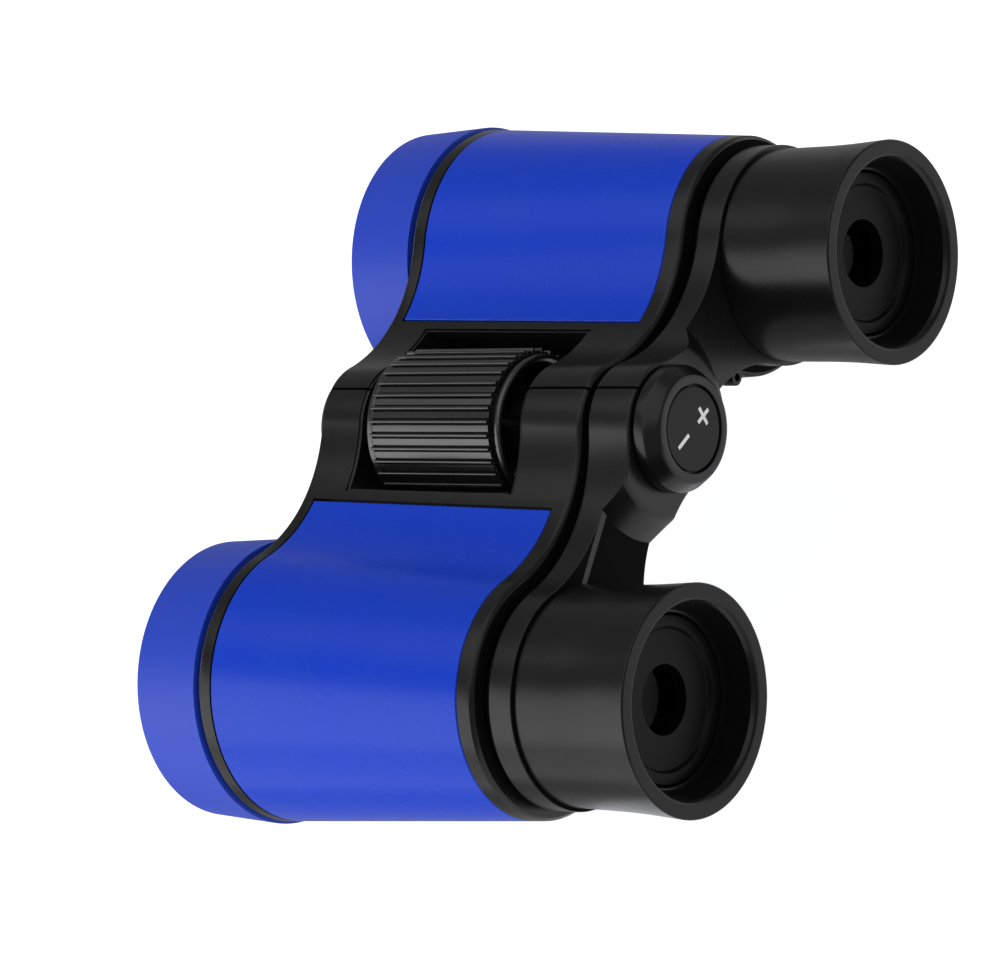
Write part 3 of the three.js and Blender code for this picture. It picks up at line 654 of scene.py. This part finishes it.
def front_ring(hand, side):
    pocket = LENS_R + GAP
    spigot, back, bevel = SOCKET_R - GAP, SOCKET_BACK + GAP, 0.25
    profile = [(RING_BORE_R, back), (spigot, back), (spigot, RING_BACK), (RING_R, RING_BACK, 0.07)]
    profile += [(RING_FRONT_R, RING_FRONT - bevel, 0.2), (RING_FRONT_R - bevel, RING_FRONT, 0.2)]
    profile += [(HOOD_R, RING_FRONT, 0.25), (pocket, RETAINER_FRONT + GAP), (pocket, LENS_SEAT - GAP)]
    profile += [(RING_BORE_R, LENS_SEAT - GAP)]
    ring = turned(f"ring_{hand}", profile, side, 0.12)
    ring.visible_glossy = False
    return finished(ring, RING_BLUE, f"{hand}_half", [f"{hand}_front_ring"])


def lens_face(r, y_edge, rise):
    """A ground face from the axis to the edge, bulging by rise towards y."""
    sphere = (r * r + rise * rise) / (2 * abs(rise))
    points = []
    for i in range(LENS_STEPS + 1):
        x = r * i / LENS_STEPS
        sag = sphere - math.sqrt(sphere * sphere - x * x)
        points.append((x, y_edge + rise - math.copysign(sag, rise)))
    return points


def objective_lens(hand, side):
    profile = lens_face(LENS_R, LENS_EDGE_FRONT, OBJECTIVE_RISE) + [(LENS_R, LENS_SEAT), (0, LENS_SEAT)]
    lens = turned(f"objective_{hand}", profile, side)
    return finished(lens, GLASS, f"{hand}_half", [f"{hand}_objective_lens"])


def objective_retainer(hand, side):
    back = LENS_EDGE_FRONT + GAP
    profile = [(RING_BORE_R, back), (LENS_R, back), (LENS_R, RETAINER_FRONT)]
    profile += [(RING_BORE_R + 0.5, RETAINER_FRONT)]
    ring = turned(f"objective_retainer_of_{hand}", profile, side, 0.15)
    return finished(ring, SATIN, f"{hand}_half", [f"{hand}_objective_retainer"])


def draw_tube_seal(hand, side):
    lip, middle_y = DRAW_TUBE_R + 0.5, (SEAL_BACK + SEAL_FRONT) / 2
    profile = [(DRAW_TUBE_R + SEAL_CLEARANCE, middle_y), (lip, SEAL_BACK), (SEAL_R, SEAL_BACK)]
    profile += [(SEAL_R, SEAL_FRONT), (lip, SEAL_FRONT)]
    seal = turned(f"seal_{hand}", profile, side, 0.2)
    return finished(seal, RUBBER, f"{hand}_half", [f"{hand}_draw_tube_seal"])


# ---- Eyepieces ------------------------------------------------------------------------------

OCULAR_BACK, OCULAR_FRONT = 6.9, 9.0
RETAINER_BACK, RETAINER_R, EYE_HOLE_R = CUP_DEPTH + 0.1, 10.2, 4.3
TUBE_WALL, OCULAR_WEB = 1.1, 1.6
ARM_SPLIT = (BOSS_BACK + ARM_FRONT) / 2
BOSS_ROOT = ARM_BACK + 0.8
TUBE_STEP = 0.6
CUP_FRONT = ARM_BACK - 0.1
OCULAR_RISE = 0.9
DISH_DEPTH, DISH_R, DISH_EDGE_R = 0.55, 8.5, 8.85
RIM_FACE_DEPTH = 0.2


def eyepiece_tube(side):
    profile = [(0, OCULAR_BACK), (SPIGOT_R, OCULAR_BACK), (SPIGOT_R, ARM_BACK + TUBE_STEP)]
    profile += [(DRAW_TUBE_R, ARM_FRONT - TUBE_STEP), (DRAW_TUBE_R, ARM_FRONT_TUBE), (0, ARM_FRONT_TUBE)]
    return turned("tube", profile, side)


def eyepiece_tube_hollow(side):
    inside, seat, pocket, aperture = SPIGOT_R - TUBE_WALL, OCULAR_FRONT + GAP, OCULAR_R + GAP, OCULAR_R - 1
    profile = [(0, OCULAR_BACK - 1), (pocket, OCULAR_BACK - 1), (pocket, seat), (aperture, seat)]
    profile += [(aperture, seat + OCULAR_WEB), (inside, seat + OCULAR_WEB)]
    profile += [(inside, ARM_FRONT_TUBE + 1), (0, ARM_FRONT_TUBE + 1)]
    return turned("tube_hollow", profile, side)


def eyepiece_arm(hand, side):
    ends = rounded_ends(ARM_BACK, ARM_FRONT, 0.12, 0.6)
    arm = stack("arm", [(y, half_outline(side, ARM_RING_R, inset)) for y, inset in ends])
    profile = [(0, BOSS_BACK), (BOSS_BACK_R, BOSS_BACK, 0.6), (BOSS_FOOT_R, ARM_BACK)]
    boss = turned("boss", profile + [(BOSS_FOOT_R, BOSS_ROOT), (0, BOSS_ROOT)])
    ends = rounded_ends(BOSS_BACK, BOSS_ROOT, 0.3, 0.3)
    stem = stack("stem", [(y, half_outline(side, ARM_RING_R, inset)) for y, inset in ends])
    arm = add(arm, keep_common(stem, boss))
    arm = cut(arm, hinge_free(side, BOSS_BACK - 1, ARM_FRONT + 1))
    stretches = [(-1, BOSS_BACK, ARM_SPLIT - GAP / 2), (1, ARM_SPLIT + GAP / 2, ARM_FRONT)]
    arm = with_knuckles(arm, side, stretches, SPINDLE_R + GAP)
    arm = bevelled(arm, 0.12, 2, 40)
    arm = add(arm, eyepiece_tube(side))
    arm = cut(arm, eyepiece_tube_hollow(side))
    arm.name = f"arm_{hand}"
    arm = finished(arm, BLACK, f"{hand}_eyepiece", [f"{hand}_eyepiece_arm"])
    return matt_and_shade_inside(arm, side, DRAW_TUBE_R - 0.5)


def eyecup(hand, side):
    spigot, seat, pocket = SPIGOT_R + GAP, OCULAR_BACK - GAP, RETAINER_R + GAP
    profile = [(CUP_BORE_R - CUP_BORE_TAPER, CUP_DEPTH, 0.3), (CUP_BORE_R, RIM_BEVEL, 0.08)]
    profile += [(RIM_INNER_R, 0, 0.3), (RIM_R - RIM_EDGE, 0, 0.1), (RIM_R, RIM_EDGE, 0.1)]
    profile += [(CUP_R + 0.1, CUP_FLARE_END, 3), (CUP_R, CUP_FRONT, 0.08)]
    profile += [(spigot, CUP_FRONT, 0.08), (spigot, seat), (pocket, seat), (pocket, CUP_DEPTH)]
    cup = turned(f"eyecup_of_{hand}", profile, side, 0.08)
    cup = finished(cup, SATIN, f"{hand}_eyepiece", [f"{hand}_eyecup"])
    matt_and_shade_inside(cup, side, CUP_BORE_R - 0.03)
    return dull_rim(cup)


def dull_rim(cup):
    """The flat face that rests on the eye socket gets its own duller finish."""
    cup.data.materials.append(CUP_RIM)
    for face in cup.data.polygons:
        if face.normal.y < -0.5 and (face.center.y - RIM) / MM < RIM_FACE_DEPTH:
            face.material_index = 2
    return cup


def ocular_retainer(hand, side):
    dish = RETAINER_BACK + DISH_DEPTH
    profile = [(EYE_HOLE_R, dish, 0.06), (DISH_R, dish, 0.1), (DISH_EDGE_R, RETAINER_BACK, 0.06)]
    profile += [(RETAINER_R, RETAINER_BACK), (RETAINER_R, OCULAR_BACK - GAP), (EYE_HOLE_R, OCULAR_BACK - GAP)]
    ring = turned(f"ocular_retainer_of_{hand}", profile, side, 0.08)
    return finished(ring, RETAINER, f"{hand}_eyepiece", [f"{hand}_ocular_retainer"])


def ocular_lens(hand, side):
    """A diverging lens, hollow towards the eye."""
    profile = lens_face(OCULAR_R - 0.5, OCULAR_BACK, OCULAR_RISE)
    profile += [(OCULAR_R, OCULAR_BACK), (OCULAR_R, OCULAR_FRONT), (0, OCULAR_FRONT)]
    lens = turned(f"ocular_{hand}", profile, side)
    return finished(lens, EYE_GLASS_PAINTED_SHADE, f"{hand}_eyepiece", [f"{hand}_ocular_lens"])


# ---- Focus wheel and hinge hardware ---------------------------------------------------------

WHEEL_BACK, WHEEL_FRONT, WHEEL_RIBS = 34.2, 55.9, 36
RIM_FRONT, RIBS_BACK, FLANGE_BACK = 35.05, 35.6, 54.9
RIB_R, LAND_R, GROOVE_R = WHEEL_R, WHEEL_R - 0.38, WHEEL_R - 0.72
REAR_RIM_R, NECK_R, FLANGE_R = 9.45, 8.9, 9.85
NUT_R, WHEEL_BORE_R = 5.2, 8.3
RIB_PHASE = 0.17
SPOKES, SPOKE_REACH, SPOKE_THICK, SPOKE_SETBACK = 3, 8.6, 1.0, 1.8
WEB_THICK = 1.6


def ribbed_outline():
    """Narrow ribs with a groove on each side and a flat land between them.

    The shape of one rib is (share of a step from its middle, radius) points, mirrored about the middle.
    """
    step = 2 * math.pi / WHEEL_RIBS
    land = [(-0.5, LAND_R), (-0.35, LAND_R), (-0.27, LAND_R)]
    groove = [(-0.245, LAND_R - 0.06), (-0.22, GROOVE_R), (-0.15, GROOVE_R)]
    rib = [(-0.13, RIB_R - 0.18), (-0.11, RIB_R - 0.08), (-0.08, RIB_R - 0.02), (-0.03, RIB_R)]
    flank = land + groove + rib
    shape = flank + [(-share, r) for share, r in flank[:0:-1]]
    points = []
    for i in range(WHEEL_RIBS):
        for share, r in shape:
            points.append(polar(r, (i + RIB_PHASE + share) * step))
    return points


def focus_wheel():
    middle_y = (WHEEL_BACK + WHEEL_FRONT) / 2
    wheel = bevelled(prism("wheel", ribbed_outline(), RIBS_BACK, FLANGE_BACK + 0.3), 0.08, 2, 60)
    rim = [(0, WHEEL_BACK), (REAR_RIM_R, WHEEL_BACK, 0.4), (REAR_RIM_R, RIM_FRONT, 0.35)]
    rim += [(NECK_R, RIM_FRONT), (NECK_R, RIBS_BACK + 0.2), (0, RIBS_BACK + 0.2)]
    wheel = add(wheel, turned("rear_rim", rim))
    flange = [(0, FLANGE_BACK), (FLANGE_R, FLANGE_BACK, 0.1), (FLANGE_R, WHEEL_FRONT, 0.25)]
    wheel = add(wheel, turned("front_flange", flange + [(0, WHEEL_FRONT)]))
    bore = [(0, WHEEL_BACK - 1), (WHEEL_BORE_R + 1.6, WHEEL_BACK - 1), (WHEEL_BORE_R, WHEEL_BACK + 0.45, 0.3)]
    bore += [(WHEEL_BORE_R, WHEEL_FRONT - 0.3), (WHEEL_BORE_R + 1.3, WHEEL_FRONT + 1), (0, WHEEL_FRONT + 1)]
    wheel = cut(wheel, turned("wheel_bore", bore))
    wheel = add(wheel, rod("hub", NUT_R, WHEEL_HUB_BACK, WHEEL_HUB_FRONT, 0.3))
    wheel = add(wheel, rod("web", WHEEL_BORE_R + 0.3, middle_y - WEB_THICK / 2, middle_y + WEB_THICK / 2))
    origin = Matrix.Translation(HINGE)
    back, front, half = WHEEL_BACK + SPOKE_SETBACK, WHEEL_FRONT - SPOKE_SETBACK, SPOKE_THICK / 2
    for i in range(SPOKES):
        spoke = bevelled(block("spoke", -SPOKE_REACH, SPOKE_REACH, back, front, -half, half), 0.2, 2)
        turn = Matrix.Rotation(-math.pi * i / SPOKES, 4, "Y")
        spoke.data.transform(origin @ turn @ origin.inverted())
        wheel = add(wheel, spoke)
    wheel = cut(wheel, rod("spindle_bore", SPINDLE_R + GAP, WINDOW_BACK, WINDOW_FRONT))
    wheel.name = "ribbed_wheel"
    return finished(wheel, RIBBED, "focus_wheel", ["focus_wheel"], 42)


SCREW_R, SCREW_HEAD_R, SCREW_HEAD_BACK, SCREW_HEAD_FRONT = 1.2, 2.6, 12.5, 13.1
SCREW_TIP, SCREW_HOLE_END = 22.6, 23
SPINDLE_FRONT, SPINDLE_CHAMFER = 55, 0.6
HUB_WASHER_R, FRONT_CAP_R = 5.2, 7.5


def cross_slot(back, front, reach):
    half = 0.35
    one = block("slot", -reach, reach, back, front, -half, half)
    return add(one, block("slot", -half, half, back, front, -reach, reach))


def hardware():
    root, drawn = "left_half", "left_eyepiece"
    back, hole = BOSS_BACK + 1, SCREW_R + GAP
    spindle = [(hole, back), (SPINDLE_R, back), (SPINDLE_R, SPINDLE_FRONT - SPINDLE_CHAMFER)]
    spindle += [(SPINDLE_R - SPINDLE_CHAMFER, SPINDLE_FRONT), (0, SPINDLE_FRONT)]
    spindle = turned("spindle", spindle + [(0, SCREW_HOLE_END), (hole, SCREW_HOLE_END)], 0, 0.1)
    finished(spindle, BRASS, drawn, ["focus_spindle"])

    screw = [(0, SCREW_HEAD_BACK), (2, SCREW_HEAD_BACK, 0.3), (SCREW_HEAD_R, SCREW_HEAD_BACK + 0.3, 0.2)]
    screw += [(SCREW_HEAD_R, SCREW_HEAD_FRONT), (SCREW_R, SCREW_HEAD_FRONT)]
    screw += [(SCREW_R, SCREW_TIP - 0.6), (0, SCREW_TIP)]
    screw = turned("screw", screw, 0, 0.05)
    screw = cut(screw, cross_slot(SCREW_HEAD_BACK - 1, SCREW_HEAD_BACK + 0.35, 1.5))
    finished(screw, STEEL, drawn, ["hub_screw"])

    washer = tube("washer_of_hub", HUB_WASHER_R, hole, SCREW_HEAD_FRONT + GAP, BOSS_BACK - GAP, 0.1)
    finished(washer, STEEL, drawn, ["hub_washer"])

    bore = SPINDLE_R + GAP
    rear = tube("thrust_washer_rear", NUT_R, bore, WINDOW_BACK + GAP, WINDOW_BACK + 1, 0.12)
    finished(rear, STEEL, root, ["rear_thrust_washer"])
    front = tube("thrust_washer_front", NUT_R, bore, WINDOW_FRONT - 1, WINDOW_FRONT - GAP, 0.12)
    finished(front, STEEL, root, ["front_thrust_washer"])

    bush = tube("bush", BUSH_R, bore, BODY_BACK + GAP, WINDOW_BACK - GAP, 0.25)
    finished(bush, BRASS, root, ["hinge_bush"])

    pin = [(0, WINDOW_FRONT + GAP), (PIN_R - 0.4, WINDOW_FRONT + GAP), (PIN_R, WINDOW_FRONT + 0.7)]
    pin += [(PIN_R, BODY_FRONT - 1.7), (PIN_HEAD_R, BODY_FRONT - 1.7), (PIN_HEAD_R, BODY_FRONT - GAP, 0.4)]
    pin = turned("pin", pin + [(0, BODY_FRONT - GAP)], 0, 0.1)
    pin = cut(pin, cross_slot(BODY_FRONT - 0.8, BODY_FRONT, 2))
    finished(pin, STEEL, root, ["hinge_pin"])

    cap = [(0, RING_BACK), (FRONT_CAP_R, RING_BACK), (FRONT_CAP_R, RING_BACK + 0.4, 0.3)]
    cap += [(FRONT_CAP_R - 0.5, RING_BACK + 0.85, 0.5), (0, RING_BACK + 1)]
    cap = turned("front_cap", cap, 0, 0.1)
    finished(cap, BLACK, root, ["hinge_cap"])


RECESS_FLOOR, RECESS_R = 11.65, 5.55
CAP_LIP_R, CAP_SHOULDER_R, CAP_R = 6.65, 6.9, 7.95
CAP_FLARE_END, CAP_INNER_R, CAP_INNER_BACK = 12.5, 5.6, 12.25


def hub_cap():
    profile = [(0, RECESS_FLOOR), (RECESS_R, RECESS_FLOOR), (RECESS_R, CAP_BACK, 0.12)]
    profile += [(CAP_LIP_R, CAP_BACK, 0.15), (CAP_SHOULDER_R, CAP_BACK + 0.25, 0.15)]
    profile += [(CAP_R - 0.05, CAP_FLARE_END, 0.2), (CAP_R, CAP_FRONT, 0.1)]
    profile += [(CAP_INNER_R, CAP_FRONT), (CAP_INNER_R, CAP_INNER_BACK), (0, CAP_INNER_BACK)]
    cap = turned("cap_of_hub", profile, 0, 0.05)
    return finished(cap, BLACK, "left_eyepiece", ["hub_cap"])


def cap_disc():
    front = RECESS_FLOOR - GAP
    disc = turned("disc", [(0, DISC_BACK), (DISC_R, DISC_BACK, 0.15), (DISC_R, front), (0, front)])
    return finished(disc, DISC, "left_eyepiece", ["cap_disc"])


MARK_TURN = math.radians(-14)
MARK_STROKE, MARK_SIZE, MARK_THICK = 0.5, 2.6, 0.03
MARK_APART = 2.5


def mark_stroke(middle_x, half_x, half_z):
    """One printed bar, turned as the mark is."""
    cos, sin = math.cos(MARK_TURN), math.sin(MARK_TURN)
    corners = [(middle_x + sx * half_x, sz * half_z) for sx, sz in ((-1, -1), (1, -1), (1, 1), (-1, 1))]
    outline = [(x * cos - z * sin, x * sin + z * cos) for x, z in corners]
    return prism("stroke", outline, DISC_BACK - MARK_THICK, DISC_BACK + 0.02)


def focus_mark():
    """A printed plus and minus, for the two ways of focusing."""
    half, reach = MARK_STROKE / 2, MARK_SIZE / 2
    mark = mark_stroke(-MARK_APART, reach, half)
    mark = add(mark, mark_stroke(MARK_APART, reach, half))
    mark = add(mark, mark_stroke(MARK_APART, half, reach))
    mark.name = "focus_mark"
    return finished(mark, PRINT, "left_eyepiece", [])


for hand, side in (("left", -1), ("right", 1)):
    body_shell(hand, side)
    skin_panel(hand, side)
    front_ring(hand, side)
    objective_lens(hand, side)
    objective_retainer(hand, side)
    draw_tube_seal(hand, side)
    eyepiece_arm(hand, side)
    eyecup(hand, side)
    ocular_retainer(hand, side)
    ocular_lens(hand, side)
focus_wheel()
hardware()
hub_cap()
cap_disc()
focus_mark()

# ---- Camera, light and floor ----------------------------------------------------------------

scene = bpy.context.scene
scene.view_settings.view_transform = "Standard"

CAMERA_AT = HINGE + Vector((-266.7, -336.7, 360.95)) * MM
CAMERA_TARGET = HINGE + Vector((-3.7, 43.8, -5.55)) * MM
CAMERA_ROLL = math.radians(-41.29)
LENS_MM = 166.37

camera = bpy.data.objects.new("camera", bpy.data.cameras.new("camera"))
scene.collection.objects.link(camera)
camera.location = CAMERA_AT
look = (CAMERA_TARGET - CAMERA_AT).to_track_quat("-Z", "Y")
camera.rotation_mode = "QUATERNION"
camera.rotation_quaternion = look @ Matrix.Rotation(CAMERA_ROLL, 4, "Z").to_quaternion()
camera.data.sensor_width = 36
camera.data.lens = LENS_MM
camera.data.clip_start, camera.data.clip_end = 0.01, 20
scene.camera = camera


def area_light(name, at, target, size, watts):
    """A soft light, with its places and size in metres."""
    light = bpy.data.lights.new(name, "AREA")
    light.shape = "RECTANGLE"
    light.size, light.size_y = size
    light.energy = watts
    obj = bpy.data.objects.new(name, light)
    scene.collection.objects.link(obj)
    obj.location = at
    obj.rotation_mode = "QUATERNION"
    obj.rotation_quaternion = (Vector(target) - Vector(at)).to_track_quat("-Z", "Y")


area_light("overhead", (0.1, -0.1, 1.6), (0, 0, 0), (2.4, 2.4), 18)
area_light("left_softbox", (-0.68, 0.59, 0.38), (0, 0, 0.02), (0.9, 0.7), 5.0)

# The studio above the floor is dim, with a white wall behind it that only the camera sees.
world = bpy.data.worlds.new("studio")
world.use_nodes = True
nodes, links = world.node_tree.nodes, world.node_tree.links
nodes["Background"].inputs["Color"].default_value = (1, 1, 1, 1)
nodes["Background"].inputs["Strength"].default_value = 0.3
wall = nodes.new("ShaderNodeBackground")
wall.inputs["Color"].default_value = (1, 1, 1, 1)
ray, mix = nodes.new("ShaderNodeLightPath"), nodes.new("ShaderNodeMixShader")
links.new(ray.outputs["Is Camera Ray"], mix.inputs[0])
links.new(nodes["Background"].outputs[0], mix.inputs[1])
links.new(wall.outputs[0], mix.inputs[2])
links.new(mix.outputs[0], nodes["World Output"].inputs["Surface"])
scene.world = world

# The floor lies as low as the right half comes when it is folded.
FOLD = math.radians(frame["joints"][0]["range_deg"][1])
FOLDED_ANGLE = math.atan2(BARREL_DROP, BARREL_X) + FOLD
FLOOR_CLEARANCE = 0.5
FOLDED_DROP = math.hypot(BARREL_X, BARREL_DROP) * math.sin(FOLDED_ANGLE)
FLOOR_Z = HINGE.z - (FOLDED_DROP + RING_R + FLOOR_CLEARANCE) * MM


def glowing_paint(name, level, glow):
    made = Finish(name, grey(level), 0.9)
    made.vary_roughness(made.noise(20, 2), 0.85, 0.95)
    made.shader.inputs["Emission Color"].default_value = (1, 1, 1, 1)
    made.shader.inputs["Emission Strength"].default_value = glow
    return made.material


def level_sheet(name, x0, x1, y0, y1, z, material):
    mesh = bpy.data.meshes.new(name)
    mesh.from_pydata([(x0, y0, z), (x1, y0, z), (x1, y1, z), (x0, y1, z)], [], [(0, 1, 2, 3)])
    mesh.materials.append(material)
    sheet = bpy.data.objects.new(name, mesh)
    scene.collection.objects.link(sheet)
    return sheet


floor = level_sheet("floor", -6, 6, -6, 6, FLOOR_Z, glowing_paint("floor_paint", 0.5, 0.85))

# Dull cards on the floor dim what the far and lower edges mirror. Only reflections show them.
CARD_Z = FLOOR_Z + 0.2 * MM
card_paint = glowing_paint("card_paint", 0.02, 0.3)
for x0, x1, y0, y1 in ((-0.1, 2, 0.003, 2), (0.005, 2, -0.022, 0.003)):
    card = level_sheet("card", x0, x1, y0, y1, CARD_Z, card_paint)
    card.visible_camera = card.visible_diffuse = card.visible_shadow = card.visible_transmission = False
